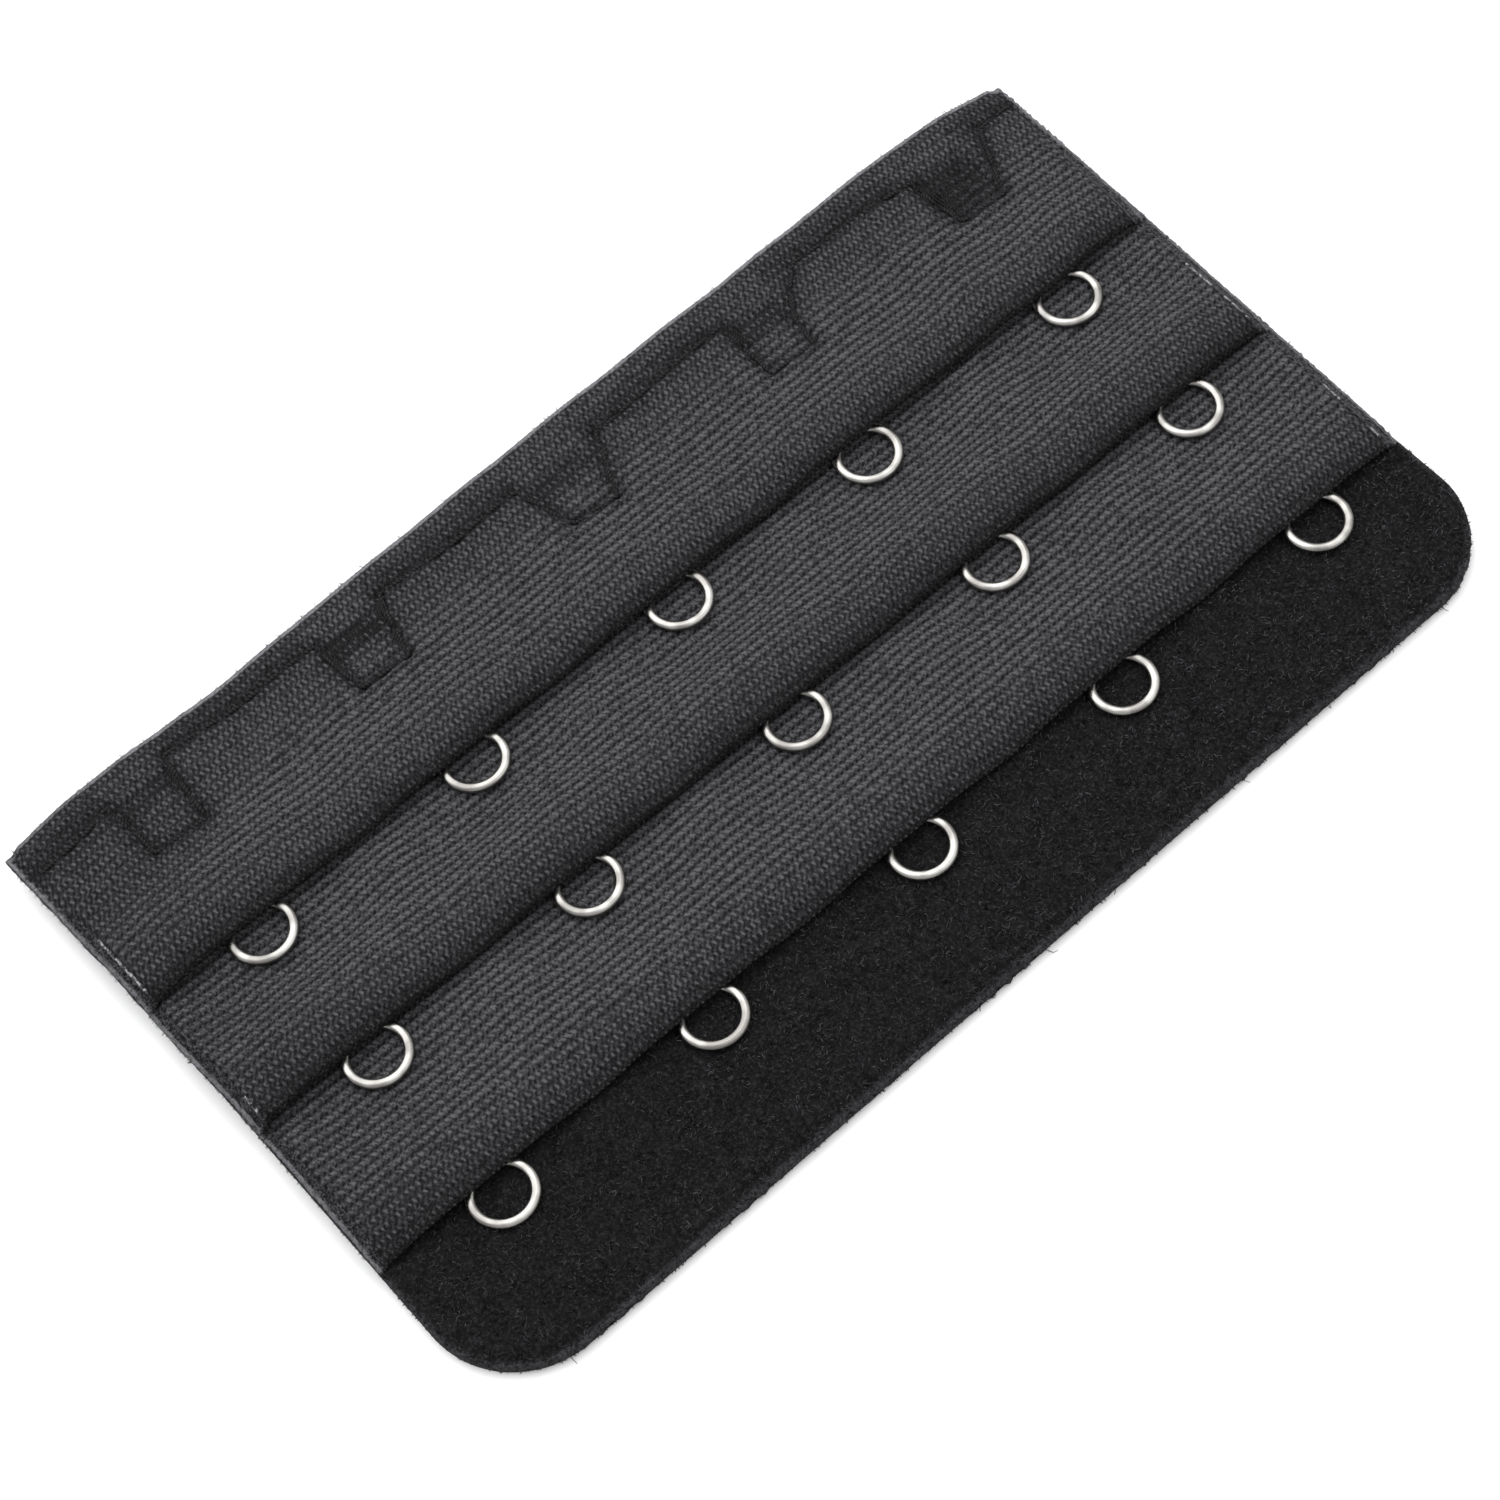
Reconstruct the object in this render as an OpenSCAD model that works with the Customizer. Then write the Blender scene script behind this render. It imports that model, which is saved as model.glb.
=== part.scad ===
// A hook and eye clasp: five rows of hooks and three columns of eyes on
// overlapping ribbed tapes, over a soft fleece backing. It lies flat, with the
// hooks at -X, the fleece end at +X and the rows of eyes spaced along Y.

/* [Eyes] */
// Outer diameter of an eye's round loop
eye_d = 5.3; // [4.6:0.1:6]
// Thickness of the eye wire
eye_wire_d = 0.7; // [0.5:0.05:0.9]
// Radius of the two ring feet, at the middle of the wire
eye_foot_r = 1; // [0.8:0.05:1.2]
// Distance between neighbouring eyes along the clasp
row_pitch = 19.05; // [17:0.05:22]
// Distance between neighbouring columns of eyes
column_pitch = 13.35; // [12.5:0.05:15]
// How far an eye's centre stands out past the edge that covers its feet
eye_reveal = 0.85; // [0.4:0.05:1.3]

/* [Backing] */
// Thickness of the fleece backing
backing_t = 1.6; // [1:0.1:2.5]
// Fleece that shows past the centres of the last eyes, at -Y
fleece_margin = 11.9; // [8:0.1:16]
// How much less of it shows at +Y
fleece_skew = 1.4; // [0:0.1:2]
// Radius of the two round corners at the fleece end
corner_r = 7.5; // [4:0.5:10]
// Distance from the outer eyes' centres to the long sides
side_margin = 9.5; // [8.5:0.05:12]
// Space between the hooks' rings and the backing
hook_space = 1; // [0.5:0.1:1.5]

/* [Tapes] */
// Thickness of a folded tape
tape_t = 1; // [0.8:0.05:1.4]
// How far a tape runs on past the eyes' feet, under the edge before it
foot_cover = 0.8; // [0.4:0.1:1.5]
// Height that a tape puffs up between the rows
puff = 0.75; // [0.3:0.05:1]
// How far a tape's edge stands off the layer below it between the rows
edge_gap = 0.2; // [0.1:0.05:0.4]
// How far a tape's folded edge rolls down
edge_roll = 0.25; // [0.1:0.05:0.4]
// Width of the strip along the sides where all layers are pressed together
seal_w = 1.05; // [0.7:0.05:1.5]
// Share of their height that the layers keep at the side
seal_share = 0.8; // [0.5:0.05:0.95]

/* [Hook end] */
// Distance from the first eyes' centres to the hook edge, at mid length
hook_reach = 18.9; // [17.5:0.1:21]
// How much further towards -X the hook edge lies at +Y than at -Y
hook_skew = 2.6; // [0:0.1:3]
// The same for the hook tape's other edge and for the row of hooks
skew = 1.1; // [0:0.1:1.6]
// How far the hook edge turns in at its +Y corner
corner_turn = 0.8; // [0:0.1:1.6]
// Length of the hook edge that turns in
turn_len = 15; // [10:1:20]
// How far the hook tape is longer than the backing, on each side
tape_overhang = 0.3; // [0:0.05:1]
// How much further it spreads at the hook edge
hook_flare = 0.6; // [0:0.05:1]
// How far the hook tape sags between the hooks
hook_sag = 0.35; // [0:0.05:0.5]
// How far the two outer corners of the hook end droop
corner_droop = 0.5; // [0:0.1:1.4]
// Width of the sewn box over each hook's ring
box_w = 5; // [4.4:0.1:6]
// How far the sewn box reaches past the ring, towards each edge
box_rim = 0.5; // [0.2:0.1:0.8]
// Depth of the sewn box
box_dent = 0.3; // [0.1:0.05:0.5]

/* [Hooks] */
// Thickness of the hook wire
hook_wire_d = 0.8; // [0.6:0.05:1]
// Clear space between a hook's shank and its bill
hook_gap = 1.2; // [1:0.05:1.5]
// Outer diameter of the ring that sews a hook down
hook_ring_d = 4.2; // [3.6:0.1:4.6]
// Length of a hook
hook_len = 7.7; // [7:0.1:8.4]
// How far the hook tape's edge reaches past a hook
hook_inset = 0.8; // [0.4:0.1:1.4]
// Length of the straight part of the bill
bill_len = 2.6; // [2:0.1:3.2]

/* [Fit] */
// Small gap between pieces that touch
gap = 0.1; // [0.05:0.01:0.12]

/* [Hidden] */
// Each eye's place off the grid: column, row, along X, along Y
EYE_PLACES = [
    [1, 1, 0.2, -0.2], [1, 2, -0.1, 0.2], [1, 3, -0.2, 0.3], [1, 4, 0, -0.6], [1, 5, 0, 0.3],
    [2, 1, 0, 0], [2, 2, -0.1, -0.1], [2, 3, 0, 0], [2, 4, 0, -0.1], [2, 5, 0.2, -0.1],
    [3, 1, 0.2, 0.2], [3, 2, -0.1, 0], [3, 3, 0, 0], [3, 4, 0.1, 0], [3, 5, -0.1, 0.2],
];
// Each hook's place off its row, along Y
HOOK_PLACES = [0, 0, 0.7, 0.8, 1];
// The most that an eye or a hook is off its row
place_slack = 1;
rows = len(HOOK_PLACES);
columns = 3;

tape_colour = "#3a3a3e";
fleece_colour = "#232326";
metal_colour = "#d8d5cf";

// Angle from an eye's outer end to where its feet begin, and a foot's sweep
foot_angle = 150;
foot_sweep = 250;
// Stretch of tape past an edge over which it puffs up, and where that starts
puff_run = 3.3;
puff_lead = 0.3;
// Shares of the column pitch where a tape starts to climb over the next tape's
// root, where the last tape starts to settle, and over which the hook tape climbs
climb_from = 0.3;
settle_from = 0.6;
hook_climb = 0.3;
// Flat room for the loop past its tip
loop_room = 0.2;
// Width over which a sewn box sinks in
box_soft = 0.8;
// Stretch of a folded edge that rolls down, in thicknesses of the tape
roll_share = 1.8;
// Radius of the backing's corners under the hook tape
hidden_corner_r = 2;

// Pieces of a tape's section between its edges, and sections between two rows
steps_x = 12;
steps_y = 10;
// Steps across the pressed strip, and points of a half round fold and a corner
seal_steps = 4;
fold_points = 5;
corner_steps = 6;
wire_fn = 24;
arc_fn = 72;

// Lengths. The whole is centred on its bounding box.
half_y = (rows - 1) / 2 * row_pitch + side_margin;
hook_half_y = half_y + tape_overhang;
full_reach = hook_reach - min([for (y = stations(hook_half_y)) edge_offset(y)]);
overall_x = full_reach + (columns - 1) * column_pitch + fleece_margin;
first_column_x = full_reach - overall_x / 2;
loop_r = (eye_d - eye_wire_d) / 2;
foot_out = loop_r + eye_foot_r;
foot_reach_x = eye_foot_r + eye_wire_d / 2 - foot_out * cos(foot_angle);
foot_reach_y = eye_foot_r + eye_wire_d / 2 + foot_out * sin(foot_angle) + place_slack;
root_tuck = foot_reach_x - eye_reveal + foot_cover;
root_x = edge_x(1) - root_tuck;
climb_x = root_x - hook_climb * column_pitch;
backing_start_x = max([for (r = [1:rows]) nose_x(r)]) + hook_len + hook_space;
droop_w = side_margin - place_slack - hook_ring_d / 2;
roll_w = roll_share * tape_t;

// Heights
base_z = backing_t + gap;
layer = tape_t + gap;
wire_room = eye_wire_d + gap;
hook_h = hook_gap + 2 * hook_wire_d;

function smooth(t) = let (c = min(1, max(0, t))) c * c * (3 - 2 * c);
function mix(a, b, t) = a + (b - a) * t;
function row_y(r) = (r - (rows + 1) / 2) * row_pitch;
function column_x(c) = first_column_x + (c - 1) * column_pitch;
function edge_x(c) = column_x(c) - eye_reveal;

// How far the row of hooks, and the hook edge, are shifted along X
function skewed(y) = -skew * y / (2 * hook_half_y);
function edge_offset(y) =
    corner_turn * pow(max(0, 1 - (hook_half_y - y) / turn_len), 2) - hook_skew * y / (2 * hook_half_y);
function hook_edge_x(y) = first_column_x - hook_reach + edge_offset(y);
function hook_y(r) = row_y(r) + HOOK_PLACES[r - 1];
function nose_x(r) = first_column_x - hook_reach + hook_inset + skewed(hook_y(r));
function ring_x(r) = nose_x(r) + hook_len - hook_ring_d / 2;
// Where a point of the hook tape comes to lie along Y as the tape spreads
function spread(x, y) = y + hook_flare * y / hook_half_y * (edge_x(1) - x) / (hook_reach - eye_reveal);

// 1 over a row of eyes, falling to 0 halfway to the next
function off_row(y) = min([for (r = [1:rows]) abs(y - row_y(r))]);
function near_row(y) =
    1 - smooth((off_row(y) - foot_reach_y) / (row_pitch / 2 - foot_reach_y));
// Share of their height that the layers keep at a distance from the side
function pressed(inset) = mix(seal_share, 1, smooth(inset / seal_w));

// Height over the backing of a tape's underside at its edge
function carried(c) = c < columns ? layer : 0;
function edge_lift(c, y) = carried(c) + mix(edge_gap, wire_room, near_row(y));
// The same at s past the edge before it: between the rows and over a row
function lift_between(c, s) =
    let (
        start = (c == 2 ? skew / 2 : 0) - puff_lead,
        from = (c < columns ? climb_from : settle_from) * column_pitch,
        to = column_pitch - (c < columns ? root_tuck : 0)
    )
    mix(puff * smooth((s - start) / puff_run), carried(c) + edge_gap, smooth((s - from) / (to - from)));
function lift_over_row(c, s) =
    let (tip = eye_reveal + eye_d / 2 + loop_room)
    (carried(c) + wire_room) * smooth((s - tip) / (column_pitch - root_tuck - tip));
function tape_lift(c, s, y) = mix(lift_between(c, s), lift_over_row(c, s), near_row(y));

// Height of the hook tape's underside, with its drooping corners
function over_hooks(y) = max(base_z, hook_h + gap - hook_sag * (1 - near_row(y)));
function droop(x, y) =
    corner_droop * smooth((abs(y) - half_y + droop_w) / droop_w)
        * smooth((climb_x - x) / (climb_x - hook_edge_x(y)));
function hook_tape_z(x, y) =
    mix(over_hooks(y), base_z + edge_lift(1, y), smooth((x - climb_x) / (root_x - climb_x)))
        - droop(x, y);

// 1 inside a sewn box and 0 outside, from the distance inside its edges
function inside(d) = smooth(0.5 + d / box_soft);
function in_box(x, y) =
    max([for (r = [1:rows])
        inside(box_w / 2 - abs(spread(x, y) - hook_y(r)))
            * inside(hook_ring_d / 2 + box_rim - abs(x - ring_x(r)))]);

// Underside and thickness of tape c, which runs from start to end along X
function tape_z(c, x, y) =
    pressed(half_y - abs(y))
        * (c == 1 ? hook_tape_z(x, y) : base_z + tape_lift(c, x - edge_x(c - 1), y));
function rolled(d) = smooth(1 - d / roll_w);
function tape_thick(c, x, y, start, end) =
    pressed(half_y - abs(y))
        * (tape_t - edge_roll * rolled(end - x)
            - (c == 1 ? edge_roll * rolled(x - start) + box_dent * in_box(x, y) : 0));

// Places along Y where a tape's section is taken
function stations(half) =
    let (last = row_y(rows), inner = half_y - seal_w,
        count = round((inner - last) / row_pitch * steps_y),
        past = concat(
            [for (i = [1:count]) mix(last, inner, i / count)],
            [for (i = [1:seal_steps]) mix(inner, half, i / seal_steps)]
        ),
        n = len(past))
    concat(
        [for (i = [n - 1:-1:0]) -past[i]],
        [for (i = [0:(rows - 1) * steps_y]) i / steps_y * row_pitch - last],
        past
    );

// A half round fold between two heights, towards +X or -X
function fold(x, y, low, high, way) =
    let (r = (high - low) / 2)
    [for (i = [1:fold_points])
        let (a = 180 * i / (fold_points + 1) - 90)
        [x + way * r * cos(a), y, (low + high) / 2 + way * r * sin(a)]];
// One section of a tape: its underside, its folded edge, its top and, on the
// hook tape, its other folded edge
function section(c, y, start, end) =
    let (
        end_r = tape_thick(c, end, y, start, end) / 2,
        start_r = c == 1 ? tape_thick(c, start, y, start, end) / 2 : 0,
        xs = [for (i = [0:steps_x]) mix(start + start_r, end - end_r, i / steps_x)],
        under = [for (x = xs) tape_z(c, x, y)],
        over = [for (i = [0:steps_x]) under[i] + tape_thick(c, xs[i], y, start, end)],
        points = concat(
            [for (i = [0:steps_x]) [xs[i], y, under[i]]],
            fold(xs[steps_x], y, under[steps_x], over[steps_x], 1),
            [for (i = [steps_x:-1:0]) [xs[i], y, over[i]]],
            c == 1 ? fold(xs[0], y, under[0], over[0], -1) : []
        )
    )
    [for (p = points) c == 1 ? [p[0], spread(p[0], p[1]), p[2]] : p];

// The walls between closed rings of n points, each over the one before
function walls(n, rings) =
    [for (j = [0:rings - 2], i = [0:n - 1])
        let (a = j * n + i, b = j * n + (i + 1) % n)
        each [[a, b, b + n], [a, b + n, a + n]]];

// A closed solid through a tape's sections
module ribbon(sections, both) {
    n = len(sections[0]);
    m = len(sections);
    top = 2 * steps_x + fold_points + 1;
    end_fold = [for (i = [0:fold_points + 1]) steps_x + i];
    start_fold = [for (i = [1:fold_points + 2]) (top + i - 1) % n];
    cap = concat(
        [for (i = [0:steps_x - 1]) each [[i, top - i, top - i - 1], [i, top - i - 1, i + 1]]],
        [for (f = both ? [end_fold, start_fold] : [end_fold], i = [1:fold_points])
            [f[0], f[i + 1], f[i]]]
    );
    polyhedron(
        [for (s = sections) each s],
        concat(cap, walls(n, m), [for (f = cap) [for (i = [2:-1:0]) f[i] + (m - 1) * n]])
    );
}

module hook_tape() {
    sections = [for (y = stations(hook_half_y)) section(1, y, hook_edge_x(y), edge_x(1) + skewed(y))];
    color(tape_colour) ribbon(sections, true);
}
module inner_tape(c) {
    sections = [for (y = stations(half_y)) section(c, y, edge_x(c - 1) - root_tuck, edge_x(c))];
    color(tape_colour) ribbon(sections, false);
}
module middle_tape() inner_tape(2);
module end_tape() inner_tape(3);

// The backing's outline, moved in by an inset, from the fleece end round
function corner(x, y, r, from) =
    [for (i = [0:corner_steps])
        let (a = from + 90 * i / corner_steps)
        [x + r * cos(a), y + r * sin(a)]];
function outline(inset) =
    let (
        a = overall_x / 2 - corner_r,
        b = half_y - corner_r,
        c = backing_start_x + hidden_corner_r,
        d = half_y - hidden_corner_r
    )
    concat(
        corner(a, -b, corner_r - inset, 270),
        corner(a - fleece_skew, b, corner_r - inset, 0),
        corner(c, d, hidden_corner_r - inset, 90),
        corner(c, -d, hidden_corner_r - inset, 180)
    );

module backing() {
    insets = [for (i = [0:seal_steps]) seal_w * i / seal_steps];
    floor_ring = [for (p = outline(0)) [p[0], p[1], 0]];
    rings = [for (s = insets) [for (p = outline(s)) [p[0], p[1], backing_t * pressed(s)]]];
    n = len(floor_ring);
    color(fleece_colour)
        polyhedron(
            concat(floor_ring, [for (r = rings) each r]),
            concat(
                [[for (i = [0:n - 1]) i]],
                [for (f = walls(n, len(rings) + 1)) [f[0], f[2], f[1]]],
                [[for (i = [n - 1:-1:0]) len(rings) * n + i]]
            )
        );
}

// An arc of wire in the XY plane
module wire_arc(r, d, from, sweep) {
    rotate([0, 0, from])
        rotate_extrude(angle = sweep, $fn = arc_fn) translate([r, 0]) circle(d = d, $fn = wire_fn);
}

// An eye: a round loop whose ends turn outwards into two ring feet
module eye(c, x, y) {
    color(metal_colour) translate([column_x(c) + x, y, base_z + carried(c) + eye_wire_d / 2]) {
        wire_arc(loop_r, eye_wire_d, -foot_angle, 2 * foot_angle);
        for (side = [-1, 1]) {
            // The foot's ring starts where the loop ends and turns the other way
            start = side > 0 ? foot_angle - 180 - foot_sweep : 180 - foot_angle;
            translate([foot_out * cos(foot_angle), side * foot_out * sin(foot_angle), 0])
                wire_arc(eye_foot_r, eye_wire_d, start, foot_sweep);
        }
    }
}

// A hook: a sewn ring, a shank towards the edge, and a bill bent back under it
module hook(r) {
    bend_r = (hook_gap + hook_wire_d) / 2;
    ring_r = (hook_ring_d - hook_wire_d) / 2;
    bend_x = nose_x(r) + bend_r + hook_wire_d / 2;
    shank_z = hook_h - hook_wire_d / 2;
    color(metal_colour) translate([0, hook_y(r), 0]) {
        translate([ring_x(r), 0, shank_z]) wire_arc(ring_r, hook_wire_d, 0, 360);
        translate([bend_x, 0, shank_z]) rotate([0, 90, 0])
            cylinder(d = hook_wire_d, h = ring_x(r) - ring_r - bend_x, $fn = wire_fn);
        translate([bend_x, 0, hook_h / 2]) rotate([90, 0, 0])
            wire_arc(bend_r, hook_wire_d, 90, 180);
        translate([bend_x, 0, hook_wire_d / 2]) {
            rotate([0, 90, 0]) cylinder(d = hook_wire_d, h = bill_len, $fn = wire_fn);
            translate([bill_len, 0, 0]) sphere(d = hook_wire_d, $fn = wire_fn);
        }
    }
}

backing();
hook_tape();
middle_tape();
end_tape();
for (e = EYE_PLACES)
    eye(e[0], e[2], row_y(e[1]) + e[3]);
for (r = [1:rows])
    hook(r);
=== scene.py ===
"""Looks of the hook and eye clasp: ribbed tapes with their sewn hook boxes, the
fleece with its pile, thread, bright wire, the studio and the camera."""
import math

import bpy
import numpy as np
from mathutils import Matrix, Vector


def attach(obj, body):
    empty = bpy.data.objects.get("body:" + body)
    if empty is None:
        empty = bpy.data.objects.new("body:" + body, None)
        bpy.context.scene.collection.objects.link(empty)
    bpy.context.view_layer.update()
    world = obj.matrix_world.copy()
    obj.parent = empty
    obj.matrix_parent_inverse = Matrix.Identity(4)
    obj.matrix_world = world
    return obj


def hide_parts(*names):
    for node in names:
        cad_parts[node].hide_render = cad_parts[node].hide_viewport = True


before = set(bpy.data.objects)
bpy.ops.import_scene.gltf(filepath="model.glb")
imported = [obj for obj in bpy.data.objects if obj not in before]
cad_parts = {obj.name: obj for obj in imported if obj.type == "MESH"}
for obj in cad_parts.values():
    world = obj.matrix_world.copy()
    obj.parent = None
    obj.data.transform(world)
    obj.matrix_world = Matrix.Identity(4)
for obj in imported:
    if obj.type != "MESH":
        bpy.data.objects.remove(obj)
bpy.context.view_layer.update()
MM = 0.001
TAU = 2 * math.pi

# Sizes in millimetres, the CAD model's own to within 0.01
ROWS, COLUMNS = 5, 3
ROW_NUMBERS = range(1, ROWS + 1)
ROW_PITCH, COLUMN_PITCH = 19.05, 13.35
FIRST_X = -9.378
EYE_D, EYE_REVEAL, EYE_FOOT_R, WIRE_D = 5.3, 0.85, 1.0, 0.7
FOOT_ANGLE, FOOT_SWEEP = 150, 250
HALF_Y, HOOK_HALF_Y = 47.6, 47.9
HOOK_REACH, HOOK_SKEW, SKEW = 18.9, 2.6, 1.1
CORNER_TURN, TURN_LEN, HOOK_FLARE = 0.8, 15, 0.6
HOOK_SAG, CORNER_DROOP = 0.35, 0.5
BOX_W, BOX_RIM, BOX_DENT, BOX_SOFT = 5, 0.5, 0.3, 0.8
HOOK_WIRE_D, HOOK_GAP, RING_D, HOOK_LEN, HOOK_INSET = 0.8, 1.2, 4.2, 7.7, 0.8
HOOK_PLACES = [0, 0, 0.7, 0.8, 1]
BACKING_T, TAPE_T, GAP, FOOT_COVER = 1.6, 1.0, 0.1, 0.8
PUFF, PUFF_RUN, PUFF_LEAD, EDGE_GAP = 0.75, 3.3, 0.3, 0.2
EDGE_ROLL, ROLL_RUN = 0.25, 1.8
SEAL_W, SEAL_SHARE, PLACE_SLACK = 1.05, 0.8, 1.0
CLIMB_FROM, SETTLE_FROM, HOOK_CLIMB, LOOP_ROOM = 0.3, 0.6, 0.3, 0.2
FLEECE_END, FLEECE_SKEW, CORNER_R = 29.22, 1.4, 7.5

FOOT_TURN = math.radians(180 - FOOT_ANGLE)
FOOT_OUT = (EYE_D - WIRE_D) / 2 + EYE_FOOT_R
FOOT_X = EYE_FOOT_R + WIRE_D / 2 + FOOT_OUT * math.cos(FOOT_TURN)
FOOT_Y = EYE_FOOT_R + WIRE_D / 2 + FOOT_OUT * math.sin(FOOT_TURN) + PLACE_SLACK
ROOT_TUCK = FOOT_X - EYE_REVEAL + FOOT_COVER
BASE_Z, LAYER, WIRE_ROOM = BACKING_T + GAP, TAPE_T + GAP, WIRE_D + GAP
HOOK_H = HOOK_GAP + 2 * HOOK_WIRE_D

# The cloth: one rib across, one dot along it, and how far a rib stands up
RIB, DOT, RIB_HEIGHT = 0.76, 0.476, 0.05


# Small calculations
def smooth(t):
    """A soft step from 0 at t = 0 to 1 at t = 1."""
    t = np.clip(t, 0, 1)
    return t * t * (3 - 2 * t)


def mix(a, b, t):
    return a + (b - a) * t


def hump(d, width):
    """1 at d = 0, and falling off over the width."""
    return np.exp(-(d / width) ** 2)


def waves(x, y, seed, size, count=7):
    """A soft uneven surface from a few sine waves, about -1 to 1."""
    rng = np.random.default_rng(seed)
    out = 0
    for _ in range(count):
        a, f, p = rng.uniform(0, TAU), rng.uniform(0.6, 1.6) / size, rng.uniform(0, TAU)
        out = out + np.sin(TAU * f * (x * math.cos(a) + y * math.sin(a)) + p)
    return out / math.sqrt(count) / 1.4


# The plain form, as in the CAD model
def row_y(r):
    return (r - (ROWS + 1) / 2) * ROW_PITCH


def edge_x(c):
    return FIRST_X + (c - 1) * COLUMN_PITCH - EYE_REVEAL


LAST_EDGE = edge_x(COLUMNS)


def skewed(y):
    return -SKEW * y / (2 * HOOK_HALF_Y)


def hook_edge_x(y):
    turn = CORNER_TURN * np.maximum(0, 1 - (HOOK_HALF_Y - y) / TURN_LEN) ** 2
    return FIRST_X - HOOK_REACH + turn - HOOK_SKEW * y / (2 * HOOK_HALF_Y)


# The sewing pulls the hook edge in and out: places along Y, and how far it lies inwards
EDGE_Y = (-47, -37, -34, -22, -15, -9, -2, 10, 20, 29, 38, 44, 47.9)
EDGE_IN = (-0.2, -0.15, 0.1, 0.2, 0.05, -0.2, 0, -0.22, 0.15, -0.1, 0.22, 0.37, 0.3)


def sewn_edge_x(y):
    return hook_edge_x(y) + np.interp(y, EDGE_Y, EDGE_IN)


def hook_y(r):
    return row_y(r) + HOOK_PLACES[r - 1]


def ring_x(r):
    return FIRST_X - HOOK_REACH + HOOK_INSET + skewed(hook_y(r)) + HOOK_LEN - RING_D / 2


def spread(x, y):
    """Where the hook tape, which flares towards its hook edge, has its place y."""
    return y + HOOK_FLARE * y / HOOK_HALF_Y * (edge_x(1) - x) / (HOOK_REACH - EYE_REVEAL)


def near_row(y):
    """1 at a row of eyes, and 0 midway between two rows."""
    off = np.min([np.abs(y - row_y(r)) for r in ROW_NUMBERS], axis=0)
    return 1 - smooth((off - FOOT_Y) / (ROW_PITCH / 2 - FOOT_Y))


def pressed(inset):
    """The share of a layer's height at a place so far inside its pressed side."""
    return mix(SEAL_SHARE, 1, smooth(inset / SEAL_W))


def carried(c):
    return LAYER if c < COLUMNS else 0


def tape_lift(c, s, y):
    """How far a tape rises above the fleece, at s along X from the edge before it."""
    start = (SKEW / 2 if c == 2 else 0) - PUFF_LEAD
    begin = (CLIMB_FROM if c < COLUMNS else SETTLE_FROM) * COLUMN_PITCH
    to = COLUMN_PITCH - (ROOT_TUCK if c < COLUMNS else 0)
    puff = PUFF * smooth((s - start) / PUFF_RUN)
    between = mix(puff, carried(c) + EDGE_GAP, smooth((s - begin) / (to - begin)))
    tip = EYE_REVEAL + EYE_D / 2 + LOOP_ROOM
    over = (carried(c) + WIRE_ROOM) * smooth((s - tip) / (COLUMN_PITCH - ROOT_TUCK - tip))
    return mix(between, over, near_row(y))


def hook_tape_z(x, y):
    root = edge_x(1) - ROOT_TUCK
    climb = root - HOOK_CLIMB * COLUMN_PITCH
    over_hooks = np.maximum(BASE_Z, HOOK_H + GAP - HOOK_SAG * (1 - near_row(y)))
    at_edge = BASE_Z + carried(1) + mix(EDGE_GAP, WIRE_ROOM, near_row(y))
    droop_w = HALF_Y - 2 * ROW_PITCH - PLACE_SLACK - RING_D / 2
    droop = (CORNER_DROOP * smooth((np.abs(y) - HALF_Y + droop_w) / droop_w)
             * smooth((climb - x) / (climb - hook_edge_x(y))))
    return mix(over_hooks, at_edge, smooth((x - climb) / (root - climb))) - droop


def in_box(x, y):
    """1 inside a hook's stitched box, and 0 outside."""
    def inside(d):
        return smooth(0.5 + d / BOX_SOFT)
    across = spread(x, y)
    boxes = [inside(BOX_W / 2 - np.abs(across - hook_y(r)))
             * inside(RING_D / 2 + BOX_RIM - np.abs(x - ring_x(r))) for r in ROW_NUMBERS]
    return np.max(boxes, axis=0)


def under_z(c, x, y):
    """The height of a tape's underside."""
    z = hook_tape_z(x, y) if c == 1 else BASE_Z + tape_lift(c, x - edge_x(c - 1), y)
    return pressed(HALF_Y - np.abs(y)) * z


def thick(c, x, y, start, end):
    """A tape's thickness, less towards its folds and in the boxes."""
    roll = EDGE_ROLL * smooth(1 - (end - x) / ROLL_RUN)
    if c == 1:
        roll = roll + EDGE_ROLL * smooth(1 - (x - start) / ROLL_RUN) + BOX_DENT * in_box(x, y)
    return pressed(HALF_Y - np.abs(y)) * (TAPE_T - roll)


# The sides were trimmed in one line that narrows towards the fleece end. Where the
# layers lie higher they are drawn in at +Y, and the middle tape spreads a little at -Y.
SIDE_Y, SIDE_TURN, SIDE_Z, DRAWN_IN = 47.47, 0.03, 2.7, 0.49
MIDDLE_SPREAD, SPREAD_END, SPREAD_RUN = 0.3, 3, 10


def side_stretch(c, x, way):
    """How much wider than the plain form a tape is on the side towards way."""
    edge = spread(x, HOOK_HALF_Y) if c == 1 else HALF_Y
    if way < 0:
        return 1 + (MIDDLE_SPREAD / HALF_Y * smooth((SPREAD_END - x) / SPREAD_RUN) if c == 2 else 0 * x)
    high = under_z(c, x, HALF_Y) + SEAL_SHARE * TAPE_T
    return (SIDE_Y - SIDE_TURN * x - DRAWN_IN * (high - SIDE_Z)) / edge


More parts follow.
